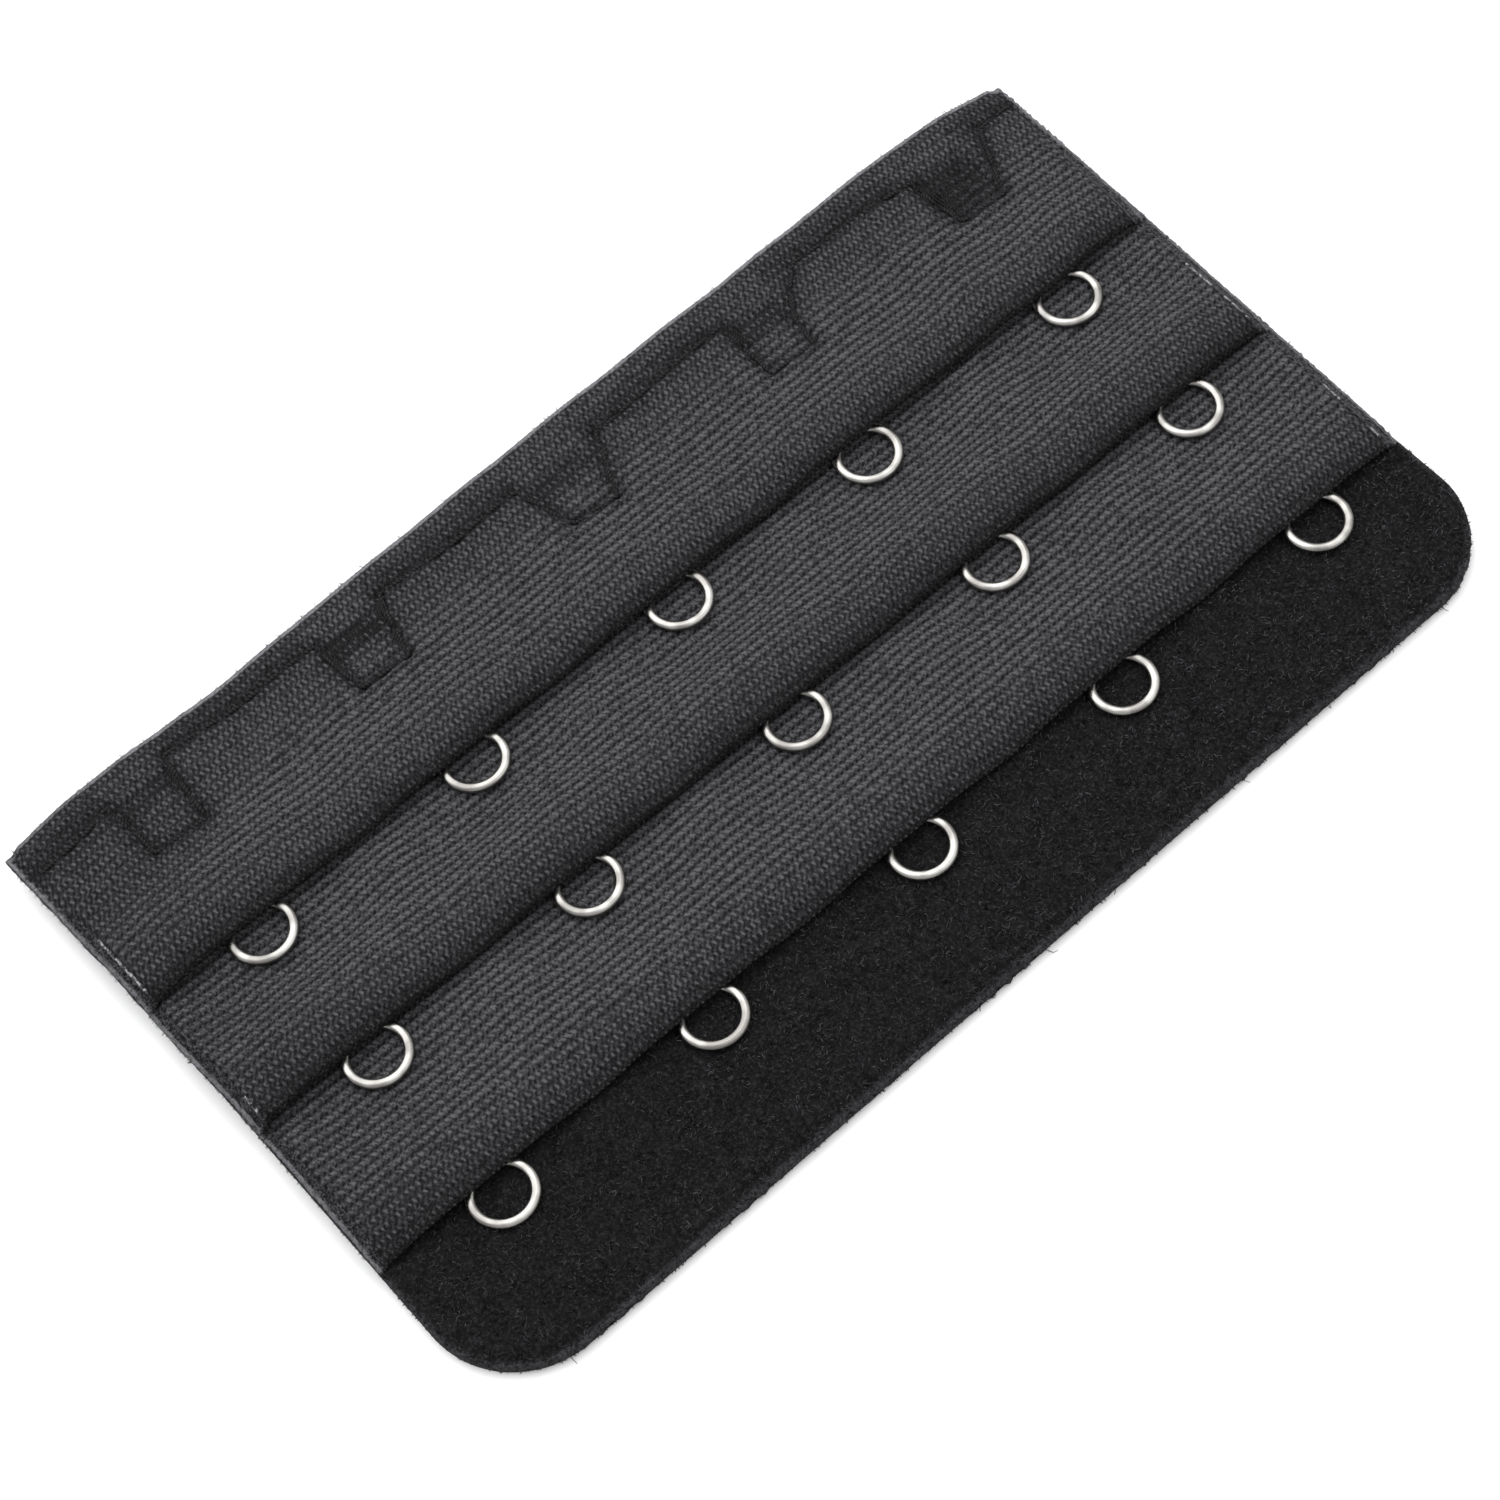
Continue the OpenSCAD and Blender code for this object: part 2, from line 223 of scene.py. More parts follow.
# Where the hooks' boxes are stitched, from -Y to +Y
STITCHING = np.array([
    (-23.9, -47.4), (-23.95, -42.9), (-24.55, -40.9), (-21.3, -40.4), (-19.25, -40.3),
    (-18.85, -35.8), (-22.0, -35.6), (-25.15, -35.3), (-24.9, -30.0), (-24.75, -21.7),
    (-21.75, -21.55), (-19.65, -21.15), (-19.45, -17.0), (-22.0, -16.4), (-24.95, -15.5),
    (-24.8, -9.0), (-24.85, -2.75), (-21.3, -1.8), (-19.7, -1.1), (-19.25, 2.7),
    (-21.3, 3.4), (-24.7, 4.9), (-25.2, 10.0), (-25.45, 17.9), (-22.0, 17.9),
    (-19.55, 17.9), (-19.25, 21.9), (-22.2, 22.4), (-24.5, 23.9), (-26.1, 25.6),
    (-26.1, 31.0), (-25.35, 36.8), (-22.4, 37.0), (-19.95, 37.4), (-19.55, 41.2),
    (-21.6, 42.2), (-23.4, 43.0), (-25.6, 44.1), (-26.1, 47.6),
])
# The line's points at the boxes' corners, and those on its runs between the boxes
CORNERS = STITCHING[[4, 5, 7, 9, 11, 12, 14, 16, 18, 19, 21, 25, 26, 33, 34]]
BETWEEN = STITCHING[[0, 2, 7, 8, 9, 14, 15, 16, 21, 22, 23, 29, 30, 31, 37, 38]]
# First and last point of each box's legs: the one towards -Y, then the one towards +Y
LEGS = [(2, 4), (7, 5), (9, 11), (14, 12), (16, 18), (21, 19), (23, 25), (28, 26), (31, 33), (37, 34)]
# How far a leg's threads fan out at its first point, its middle and its last point
FAN_X, FAN_Y = np.array([0.2, 0, 0]), np.array([1, 0.55, 0.08])


def leg_paths(shares):
    """Lines beside each leg, which fan out towards its first point."""
    out = []
    for k, (first, last) in enumerate(LEGS):
        leg = STITCHING[[first, (first + last) // 2, last]]
        way = 1 if k % 2 == 0 else -1
        for share in shares:
            out.append(leg + np.stack([FAN_X * abs(share), FAN_Y * way * share], 1))
    return out


def from_path(x, y, path):
    """Distance of each point from a line of points."""
    best = np.full(np.shape(x), 1e9)
    for (ax, ay), (bx, by) in zip(path[:-1], path[1:]):
        dx, dy = bx - ax, by - ay
        t = np.clip(((x - ax) * dx + (y - ay) * dy) / (dx * dx + dy * dy), 0, 1)
        best = np.minimum(best, np.hypot(x - ax - t * dx, y - ay - t * dy))
    return best


# Meshes
def make(name, points, faces, material, **attributes):
    """A mesh object from points in millimetres and arrays of faces of one size each."""
    mesh = bpy.data.meshes.new(name)
    faces = [np.asarray(f, dtype=np.int64) for f in faces]
    sizes = np.concatenate([np.full(len(f), f.shape[1]) for f in faces])
    corners = np.concatenate([f.ravel() for f in faces])
    mesh.vertices.add(len(points))
    mesh.vertices.foreach_set("co", (np.asarray(points, dtype=np.float64) * MM).ravel())
    mesh.loops.add(len(corners))
    mesh.loops.foreach_set("vertex_index", corners)
    mesh.polygons.add(len(sizes))
    mesh.polygons.foreach_set("loop_start", np.concatenate([[0], np.cumsum(sizes)[:-1]]))
    mesh.polygons.foreach_set("use_smooth", np.full(len(sizes), True))
    mesh.update(calc_edges=True)
    for key, values in attributes.items():
        values = np.asarray(values, dtype=np.float64)
        kind = "FLOAT_VECTOR" if values.ndim == 2 else "FLOAT"
        layer = mesh.attributes.new(key, kind, "POINT")
        layer.data.foreach_set("vector" if kind == "FLOAT_VECTOR" else "value", values.ravel())
    mesh.materials.append(material)
    piece = bpy.data.objects.new(name, mesh)
    bpy.context.scene.collection.objects.link(piece)
    return piece


def ring_faces(m, k):
    """The walls of m closed rings of k points, and the two caps."""
    j, i = np.meshgrid(np.arange(m - 1), np.arange(k), indexing="ij")
    a, b = j * k + i, j * k + (i + 1) % k
    walls = np.stack([a, b, b + k, a + k], -1).reshape(-1, 4)
    caps = np.array([np.arange(k)[::-1], (m - 1) * k + np.arange(k)])
    return walls, caps


def tubes(paths, radii, sides):
    """Closed tubes along n paths of m points: points, faces and each point's path."""
    n, m = paths.shape[:2]
    along = np.gradient(paths, axis=1)
    along /= np.linalg.norm(along, axis=2, keepdims=True) + 1e-9
    ref = np.where(np.abs(along[:, :, 2:3]) < 0.9, [[[0.0, 0.0, 1.0]]], [[[1.0, 0.0, 0.0]]])
    side = np.cross(along, ref)
    side /= np.linalg.norm(side, axis=2, keepdims=True)
    up = np.cross(side, along)
    a = TAU * np.arange(sides) / sides
    ring = side[:, :, None] * np.cos(a)[:, None] + up[:, :, None] * np.sin(a)[:, None]
    points = paths[:, :, None] + ring * radii[:, :, None, None]
    q, j, i = np.meshgrid(np.arange(n), np.arange(m - 1), np.arange(sides), indexing="ij")
    base = q * m * sides + j * sides
    a, b = base + i, base + (i + 1) % sides
    walls = np.stack([a, b, b + sides, a + sides], -1).reshape(-1, 4)
    first = np.arange(n)[:, None] * m * sides + np.arange(sides)
    caps = np.concatenate([first[:, ::-1], first + (m - 1) * sides])
    return points.reshape(-1, 3), [walls, caps], np.repeat(np.arange(n), m * sides)


# Materials
class Shader:
    """A material's node tree, built up from small calculations."""

    def __init__(self, name, **sockets):
        self.material = bpy.data.materials.new(name)
        self.material.use_nodes = True
        self.tree = self.material.node_tree
        self.out = self.tree.nodes["Principled BSDF"]
        for key, value in sockets.items():
            self.out.inputs[key.replace("_", " ")].default_value = value

    def feed(self, socket, value):
        if isinstance(value, bpy.types.NodeSocket):
            self.tree.links.new(value, socket)
        else:
            socket.default_value = value

    def node(self, kind, output=0, inputs=(), **settings):
        n = self.tree.nodes.new(kind)
        for key, value in settings.items():
            setattr(n, key, value)
        for key, value in dict(inputs).items():
            self.feed(n.inputs[key], value)
        return n.outputs[output]

    def calc(self, operation, *values):
        return self.node("ShaderNodeMath", 0, dict(enumerate(values)), operation=operation)

    def attribute(self, name):
        """The three parts of a vector stored on the mesh."""
        vector = self.node("ShaderNodeAttribute", "Vector", attribute_name=name)
        n = self.tree.nodes.new("ShaderNodeSeparateXYZ")
        self.tree.links.new(vector, n.inputs[0])
        return n.outputs[0], n.outputs[1], n.outputs[2]

    def value(self, name):
        """A number stored on the mesh."""
        return self.node("ShaderNodeAttribute", "Fac", attribute_name=name)

    def place(self):
        return self.node("ShaderNodeTexCoord", "Object")

    def noise(self, size_mm, detail=2.0, roughness=0.5, vector=None):
        """Noise from 0 to 1 whose lumps are size_mm across."""
        return self.node("ShaderNodeTexNoise", "Fac", {
            "Vector": vector or self.place(), "Scale": 1 / (size_mm * MM),
            "Detail": detail, "Roughness": roughness})

    def wave(self, turns):
        """A cosine, from how many turns it has made."""
        return self.calc("COSINE", self.calc("MULTIPLY", turns, TAU))

    def ramp(self, value, low, high, a=0.0, b=1.0):
        """a at low and below, b at high and above, and even between them."""
        return self.node("ShaderNodeMapRange", 0, {
            "Value": value, "From Min": low, "From Max": high, "To Min": a, "To Max": b})

    def band(self, value, middle, inner, outer, peak=1.0):
        """peak nearer than inner to the middle value, and 0 farther than outer."""
        off = self.calc("ABSOLUTE", self.calc("SUBTRACT", value, middle))
        return self.ramp(off, inner, outer, peak, 0)

    def blend(self, a, b, t):
        """Colour a at t = 0 and b at t = 1."""
        n = self.tree.nodes.new("ShaderNodeMix")
        n.data_type = "RGBA"
        self.feed(n.inputs[0], t)
        self.feed(n.inputs[6], a)
        self.feed(n.inputs[7], b)
        return n.outputs[2]

    def finish(self, color, roughness=None, height=None, depth_mm=0.1):
        self.feed(self.out.inputs["Base Color"], color)
        if roughness is not None:
            self.feed(self.out.inputs["Roughness"], roughness)
        if height is not None:
            bump = self.node("ShaderNodeBump", 0, {
                "Strength": 1.0, "Distance": depth_mm * MM, "Height": height})
            self.tree.links.new(bump, self.out.inputs["Normal"])
        return self.material


def grey(v):
    """A neutral tone with the cool cast of dyed black."""
    return (v * 1.01, v, v * 1.07, 1)


# Tones of the tape: between the yarns, on a yarn, of the painted highlight on a rim, and on a melted mark
GROUND, YARN, RIM_HIGHLIGHT, MELTED = 0.003, 0.085, 0.17, 0.5


def tape_material():
    s = Shader("ribbed_tape", Specular_IOR_Level=0.04)
    u, v, contrast = s.attribute("weave")
    # Melt marks, painted shade, and the distance past the pressed strip's edge
    melt, dark, past = s.attribute("marks")
    middle = s.value("middle")
    # The yarns wander a little
    u = s.calc("ADD", u, s.ramp(s.noise(1.6), 0, 1, -0.1, 0.1))
    v = s.calc("ADD", v, s.ramp(s.noise(1.1), 0, 1, -0.25, 0.25))
    rib = s.calc("MULTIPLY_ADD", s.wave(u), 0.5, 0.5)
    slant = s.calc("MULTIPLY_ADD", s.calc("SINE", s.calc("MULTIPLY", u, TAU)), -0.17, v)
    slit = s.calc("MULTIPLY_ADD", s.wave(slant), -0.5, 0.5)
    valley = s.calc("MULTIPLY", s.calc("SUBTRACT", 1.0, rib), slit)
    # Slanted strands with narrow slits, and single dots towards the folded edges
    solid = s.calc("MULTIPLY_ADD", s.calc("POWER", slit, 2.2), -0.65, 1.0)
    strand = s.calc("MULTIPLY", s.calc("POWER", rib, 1.2), solid)
    strand = s.calc("MULTIPLY_ADD", valley, 0.34, strand)
    slight = s.calc("MULTIPLY_ADD", slant, 0.35, s.calc("MULTIPLY", v, 0.65))
    dots = s.calc("MULTIPLY", rib, s.calc("MULTIPLY_ADD", s.wave(slight), 0.5, 0.5))
    below = s.calc("MULTIPLY_ADD", valley, 0.34, 0.08)
    dots = s.calc("MULTIPLY_ADD", s.calc("POWER", dots, 1.7), 1.4, below)
    yarn = s.ramp(middle, 0, 1, dots, strand)
    # The pressed side: a line of painted shade in its groove, with light dots beside it, then matted cloth
    seal = s.ramp(past, 0.0, 0.12)
    beads = s.calc("MULTIPLY", s.band(past, 0.17, 0.03, 0.12, 0.5), s.ramp(s.wave(v), -0.3, 0.8))
    gutter = s.band(past, -0.02, 0.02, 0.12)
    grain, fibre, clump = s.noise(0.17, 2.0, 0.75), s.noise(0.08, 2.0, 0.6), s.noise(0.42, 1.0, 0.5)
    matted = s.calc("ADD", s.ramp(grain, 0.35, 0.65, 0.1, 1.1), beads)
    yarn = s.ramp(seal, 0, 1, yarn, matted)
    speck = s.calc("MULTIPLY", s.ramp(grain, 0.45, 0.68), s.ramp(contrast, 0, 1, 0.2, 0.1))
    light = s.calc("MULTIPLY", yarn, s.calc("MULTIPLY", contrast, s.ramp(grain, 0.34, 0.66, 0.35, 1.6)))
    light = s.calc("ADD", light, speck)
    light = s.calc("MULTIPLY", light, s.ramp(clump, 0.32, 0.68, 0.6, 1.4))
    # Painted shade at the free edges, along the stitching and in the pressed strip's groove
    shadow = s.calc("MAXIMUM", dark, s.calc("MULTIPLY", gutter, 0.6))
    light = s.calc("MULTIPLY", light, s.ramp(shadow, 0, 1, 1, 0.2))
    light = s.calc("MULTIPLY", light, s.ramp(fibre, 0.32, 0.68, 0.65, 1.3))
    base = s.blend(grey(GROUND), grey(YARN), light)
    # Painted highlight on the rims that catch the light: the hook edge and the cut sides
    rim_highlight_mask = s.calc("MULTIPLY", s.ramp(contrast, 1.2, 2.2), s.ramp(grain, 0.32, 0.6, 0.35, 1))
    base = s.blend(base, grey(RIM_HIGHLIGHT), rim_highlight_mask)
    white = s.calc("MULTIPLY", s.band(past, 0.1, 0.04, 0.12), melt)
    white = s.calc("MULTIPLY", white, s.ramp(s.noise(0.28, 3.0, 0.75), 0.47, 0.56))
    base = s.blend(base, grey(MELTED), white)
    rough = s.calc("MULTIPLY", s.ramp(fibre, 0.3, 0.7, 0.7, 0.95), s.ramp(white, 0, 1, 1, 0.6))
    height = s.calc("MULTIPLY_ADD", grain, 0.7, yarn)
    return s.finish(base, rough, height, 0.1)


def fleece_material():
    s = Shader("fleece", Roughness=0.95, Specular_IOR_Level=0.03)
    coarse, fine, tiny = s.noise(1.1, 4.0, 0.65), s.noise(0.26, 3.0, 0.7), s.noise(0.1, 2.0, 0.6)
    rim = s.value("rim")
    base = s.blend(grey(0.005), grey(0.011), s.ramp(coarse, 0.3, 0.75))
    tufts = s.calc("MULTIPLY", s.ramp(fine, 0.48, 0.72), s.ramp(tiny, 0.35, 0.65, 0.3, 1))
    base = s.blend(base, grey(0.036), tufts)
    # A painted highlight along the fleece's rolled edge, where it catches the light
    base = s.blend(base, grey(0.05), s.calc("MULTIPLY", rim, s.ramp(fine, 0.35, 0.6)))
    height = s.calc("MULTIPLY_ADD", fine, 0.6, coarse)
    return s.finish(base, None, height, 0.35)


def pile_material():
    s = Shader("fleece_pile", Roughness=0.8, Specular_IOR_Level=0.06)
    shade = s.calc("POWER", s.value("shade"), 2.0)
    patches = s.ramp(s.noise(1.4, 2.0, 0.6), 0.36, 0.64, 0.4, 1.6)
    base = s.blend(grey(0.006), grey(0.072), s.calc("MULTIPLY", shade, patches))
    return s.finish(base, None, s.noise(0.05), 0.01)


def thread_material():
    s = Shader("thread", Roughness=0.7, Specular_IOR_Level=0.06)
    along, around, _ = s.attribute("twist")
    ply = s.wave(s.calc("ADD", along, around))
    base = s.blend(grey(0.007), grey(0.028), s.ramp(ply, -0.6, 1.2))
    base = s.blend(base, grey(0.018), s.ramp(s.noise(0.2), 0.5, 0.8, 0, 0.7))
    return s.finish(base, None, ply, 0.02)


def nickel_material():
    s = Shader("nickel_wire", Metallic=1.0, IOR=2.0)
    # Fine marks from drawing the wire, in squeezed coordinates whose lumps are a metre across
    squeezed = s.node("ShaderNodeMapping", 0, {"Vector": s.place(), "Scale": (900, 900, 4000)})
    drawn = s.noise(1 / MM, vector=squeezed)
    cloud, patch = s.noise(0.7, 3.0, 0.6), s.noise(1.5, 1.0, 0.5)
    base = s.blend((0.41, 0.4, 0.38, 1), (0.23, 0.222, 0.21, 1), s.ramp(patch, 0.4, 0.62))
    rough = s.calc("ADD", s.ramp(cloud, 0.3, 0.8, 0.2, 0.32), s.ramp(drawn, 0.3, 0.7, 0, 0.06))
    return s.finish(base, rough, drawn, 0.006)


TAPE, FLEECE, PILE = tape_material(), fleece_material(), pile_material()
THREAD, NICKEL = thread_material(), nickel_material()


# The tapes
# White marks where a welding tool sealed the side: tape, side, from and to along X
MELTS = [(1, -1, -16.6, -10.9), (2, -1, 0.5, 2.1), (2, 1, -5.3, -2.3), (2, 1, -0.8, 1.8),
         (3, 1, 9.7, 11.8), (3, 1, 14.6, 15.4)]
# The cut side shows the two layers of the folded tape, with a slit between them: the
# share of the way to the middle, how far out, the contrast (above 1.2 a painted highlight
# on a layer's rim) and the darkness (painted shade in the slit)
CUT_SIDE = [(0.12, 0.05, 3.0, 0), (0.3, 0.09, 2.0, 0), (0.45, 0.08, 0.7, 0.2),
            (0.62, 0.02, 0.5, 0.4), (0.8, 0.06, 1.6, 0), (0.97, -0.1, 0, 1)]
CUT_PAST = 1.2
# How wide the pressed strip is at +Y and at -Y, and where the hook tape's begins along X
STRIP_HIGH, STRIP_LOW, STRIP_X, STRIP_RUN = 1.0, 0.85, -21.5, 3
# Steps along a tape's surface, between its rows, round a fold and on the underside
TOP_STEP, ROW_STEP, FOLD_STEPS, UNDER_STEPS = 0.127, 0.3, 13, 22
FLAT_POINTS, SIDE_STEPS, SIDE_MARGIN = 160, 13, 0.6


def stations(half):
    """Places along Y of a tape's sections, closer together at the pressed sides."""
    inner = HALF_Y - SEAL_W - SIDE_MARGIN
    side = np.linspace(inner, half, SIDE_STEPS + 1)[1:]
    middle = np.linspace(-inner, inner, int(2 * inner / ROW_STEP))
    return np.concatenate([-side[::-1], middle, side])


def sewn_detail(x, y, near_edge, lift, contrast, dark, middle):
    """What the hooks' boxes and the hook edge change in the hook tape's marks, painted shade and painted
    highlight.
    """
    at = spread(x, y) * side_stretch(1, x, np.max(y))
    near_x, near_y = x + 0.1 * waves(x, at, 13, 0.7), at + 0.1 * waves(x, at, 14, 0.7)
    line = from_path(near_x, near_y, STITCHING)
    legs = np.min([from_path(near_x, near_y, p) for p in leg_paths((0.1, 0.4, 0.7))], axis=0)
    corner = np.min([np.hypot(x - a, at - b) for a, b in CORNERS], axis=0)
    # The stitches pull grooves into the cloth, which puckers beside them
    inner = smooth((near_edge - 0.9) / 1.4)
    lift = (lift + 0.08 * waves(x, y, 3, 1.6) * hump(line, 1.4)) * inner
    lift = lift - 0.14 * hump(line, 0.36) - 0.05 * hump(legs, 0.4) - 0.1 * hump(corner, 0.35)
    # The cloth is flattened and darker outside the line between two boxes, and in the fifth box
    beside = np.interp(at, BETWEEN[:, 1], BETWEEN[:, 0]) - x
    apart = np.min([np.abs(at - hook_y(r)) for r in ROW_NUMBERS], axis=0)
    flat = smooth((beside + 0.2) / 0.4) * smooth((2.2 - beside) / 0.8) * smooth((apart - 2.6) / 0.8)
    fifth = np.exp(-((x - ring_x(5)) / 2.6) ** 4 - ((at - hook_y(5)) / 2.8) ** 4)
    doubled = in_box(x, y) * smooth((ring_x(3) - 0.2 - x) / 0.8)
    contrast = contrast * (1 - 0.35 * flat) * (1 - 0.35 * doubled) * (1 - 0.6 * fifth)
    contrast = contrast * (1 - 0.5 * hump(line, 0.8))
    lift = lift + (0.05 * waves(x, y, 4, 1.5) * flat + 0.1 * waves(x, y, 6, 1.1) * fifth) * inner
    faint = np.clip(0.5 + 0.35 * waves(x, at, 15, 1.3), 0.15, 1)
    # Painted shade in the stitch line's groove and in the pits at the box corners; the cloth is also darker
    # along the legs, on the flattened strip, in the fifth box and where doubled
    dark = np.max([dark, faint * hump(line, 0.33), 0.35 * hump(legs, 0.4), 0.6 * hump(corner, 0.4),
                   0.12 * flat, 0.35 * fifth, 0.15 * doubled], axis=0)
    # The hook edge is dull, with a painted highlight along its rim
    contrast = contrast * mix(0.6, 1, smooth((near_edge - 1.2) / 0.8))
    rim = (2.5 + 0.5 * waves(x, y, 12, 1.5)) * hump(near_edge - 1.05, 0.22)
    contrast = np.maximum(contrast, rim)
    middle = middle * smooth((near_edge - 6 - 4 * smooth((-y - 28) / 12)) / 4)
    return lift, contrast, dark, middle


def top_detail(c, x, y, s, length):
    """How far the cloth stands proud of the plain form, and its marks, painted shade and painted highlights.
    """
    half = HOOK_HALF_Y if c == 1 else HALF_Y
    high_side = np.max(y) > 0
    past = np.abs(y) - (half - (STRIP_HIGH if high_side else STRIP_LOW))
    if c == 1:
        past = mix(-0.6, past, smooth((x - STRIP_X) / STRIP_RUN))
    seal = smooth(past / 0.2)
    # The free edge has painted shade where it rolls away from the light, and is less distinct, least so on
    # the end tape
    from_edge = s - 0.5
    contrast = mix(0.38 if c == 3 else 0.22, 1, smooth((from_edge - 0.5) / 2.0))
    dark = (0.25 if c == 3 else 0.45) * smooth(1 - from_edge / 1.2)
    lift = 0.07 * waves(x, y, 10 + c, 9)
    middle = smooth((from_edge - 2.2) / 3.5)
    if c == 1:
        lift, contrast, dark, middle = sewn_detail(x, y, length - s, lift, contrast, dark, middle)
    # The dotted cloth beside the folds and the cloth near the -Y side are darker
    if c > 1:
        contrast = contrast * mix(0.85, 1, middle)
    contrast = contrast * (1 - 0.2 * smooth((-y - 32) / 12))
    melt = np.zeros_like(x)
    for column, way, a, b in MELTS:
        if column == c:
            melt = np.maximum(melt, (0.6 if way > 0 else 1.0) * ((x > a) & (x < b) & (way * y > 0)))
    # A groove along the pressed strip, and a raised outer lip past it
    lip = 0.05 * hump(half - 0.2 - np.abs(y), 0.2)
    lift = lift * (1 - 0.6 * seal) + lip - 0.07 * hump(past + 0.02, 0.12)
    contrast = mix(contrast, np.maximum(0.8 * contrast, 0.9) if high_side else 0.5, seal)
    # A painted highlight along the cut side's outer rim
    outer = smooth((np.abs(y) - half + 0.22) / 0.12) * (0.8 + 0.3 * waves(x, y, 9, 1.2))
    contrast = mix(contrast, 2.8, outer)
    return lift + 0.05 * waves(x, y, 8, 0.7) * seal, contrast, dark, melt, past, middle


def tape(c, name):
    """A tape from closed sections across Y, with a few more that close its cut sides."""
    half = HOOK_HALF_Y if c == 1 else HALF_Y
    rows, weave, marks, middles = [], [], [], []
    whole = None
    for y in stations(half):
        start = sewn_edge_x(y) if c == 1 else edge_x(c - 1) - ROOT_TUCK
        end = edge_x(c)
        if c == 1:
            # The free edge is drawn out over the fifth row
            end = end + skewed(y) + 0.3 * hump(y - row_y(ROWS), 5)
        end_r = thick(c, end, y, start, end) / 2
        start_r = thick(c, start, y, start, end) / 2 if c == 1 else 0
        xs = np.linspace(end - end_r, start + start_r, FLAT_POINTS)
        low = under_z(c, xs, y)
        t = thick(c, xs, y, start, end)
        a = np.linspace(-90, 90, FOLD_STEPS + 1)[:-1] * TAU / 360
        mid, r = low[0] + t[0] / 2, t[0] / 2
        px = [xs[0] + r * np.cos(a), xs]
        pz = [mid + r * np.sin(a), low + t]
        if c == 1:
            mid, r = low[-1] + t[-1] / 2, t[-1] / 2
            px.append(xs[-1] - r * np.cos(a[::-1]))
            pz.append(mid + r * np.sin(a[::-1]))
        px, pz = np.concatenate(px), np.concatenate(pz)
        # Most of the rise over an eye stretches the cloth and leaves its ribs straight
        rise = np.full(len(px) - 1, 0.3)
        rise[:FOLD_STEPS] = 1
        if c == 1:
            rise[-FOLD_STEPS:] = 1
        run = np.concatenate([[0], np.cumsum(np.hypot(np.diff(px), rise * np.diff(pz)))])
        if whole is None:
            whole = run[-1]
            count = int(whole / TOP_STEP)
        length = run[-1] if c == 1 else min(run[-1], whole)
        s = np.linspace(0, length, count)
        x, z = np.interp(s, run, px), np.interp(s, run, pz)
        tx, tz = np.gradient(x), np.gradient(z)
        n = np.hypot(tx, tz) + 1e-9
        tip = math.pi * end_r / 2
        u = -(s - tip) / length * whole / RIB if c == 1 else -(s - tip) / RIB
        lift, contrast, dark, melt, past, middle = top_detail(c, x, np.full(count, y), s, length)
        fade = smooth(s / 0.5) * (smooth((length - s) / 0.5) if c == 1 else 1)
        ribs = RIB_HEIGHT * np.cos(TAU * u) * (1 - smooth(past / 0.2)) * mix(0.5, 1, contrast)
        sunk = 0.22 * smooth(1 - (s - tip) / 3) * smooth((s - tip * 0.4) / 0.6)
        move = (lift * smooth((s - tip) / 0.8) + ribs) * fade - sunk
        x, z = x + move * tz / n, z - move * tx / n
        back = np.linspace(0, 1, UNDER_STEPS + 2)[1:-1]
        ux = np.linspace(x[-1], x[0], UNDER_STEPS + 2)[1:-1]
        uz = under_z(c, np.clip(ux, xs[-1], xs[0]), y)
        uu = u[-1] - back * (x[0] - x[-1]) / RIB
        wide_x, wide_z = np.concatenate([x, ux]), np.concatenate([z, uz])
        inside = np.clip(wide_x, xs[-1], xs[0])
        wide_y = (spread(wide_x, y) if c == 1 else y) * side_stretch(c, inside, y)
        centre = under_z(c, inside, y) + thick(c, inside, y, start, end) / 2
        under = np.zeros(UNDER_STEPS)
        plain_weave = np.stack([np.concatenate([u, uu]), np.full(len(wide_x), y / DOT),
                                np.concatenate([contrast, under + 0.8])], 1)
        # Melt marks, painted shade, and the distance past the pressed strip's edge
        plain_marks = np.stack([np.concatenate([melt, under]), np.concatenate([dark, under]),
                                np.concatenate([past, under + past[0]])], 1)
        rings = [(0, 0, 1, 0)]
        if abs(y) == half:
            rings = rings + CUT_SIDE
            if y < 0:
                rings = rings[::-1]
        for share, out, tone, slit in rings:
            ragged = 0.05 * waves(wide_x, 3 * wide_z, 70 + c, 0.6) if share else 0
            ring_y = wide_y + math.copysign(1, y) * (out + ragged)
            rows.append(np.stack([wide_x, ring_y, mix(wide_z, centre, share)], 1))
            ring_weave, ring_marks = plain_weave.copy(), plain_marks.copy()
            if share:
                ring_weave[:, 2] = tone
                # Painted shade in the slit between the layers
                ring_marks[:, 1] = slit
                ring_marks[:, 2] = CUT_PAST
            weave.append(ring_weave)
            marks.append(ring_marks)
            middles.append(np.concatenate([middle, under]))
    rows = np.array(rows)
    return make(name, rows.reshape(-1, 3), ring_faces(*rows.shape[:2]), TAPE,
                weave=np.concatenate(weave), marks=np.concatenate(marks), middle=np.concatenate(middles))


hook_cloth = tape(1, "hook_tape_cloth")
middle_cloth = tape(2, "middle_tape_cloth")
end_cloth = tape(3, "end_tape_cloth")


# The fleece
FLEECE_START = max(ring_x(r) for r in ROW_NUMBERS) + RING_D / 2 + 1
HIDDEN_R = 2
# How far in from its end the fleece has closer points, and the points of its parts
RIM_W, HIDDEN_POINTS, SHOWN_POINTS, RIM_POINTS, WALL_POINTS, FLOOR_POINTS = 1.6, 30, 40, 12, 4, 24


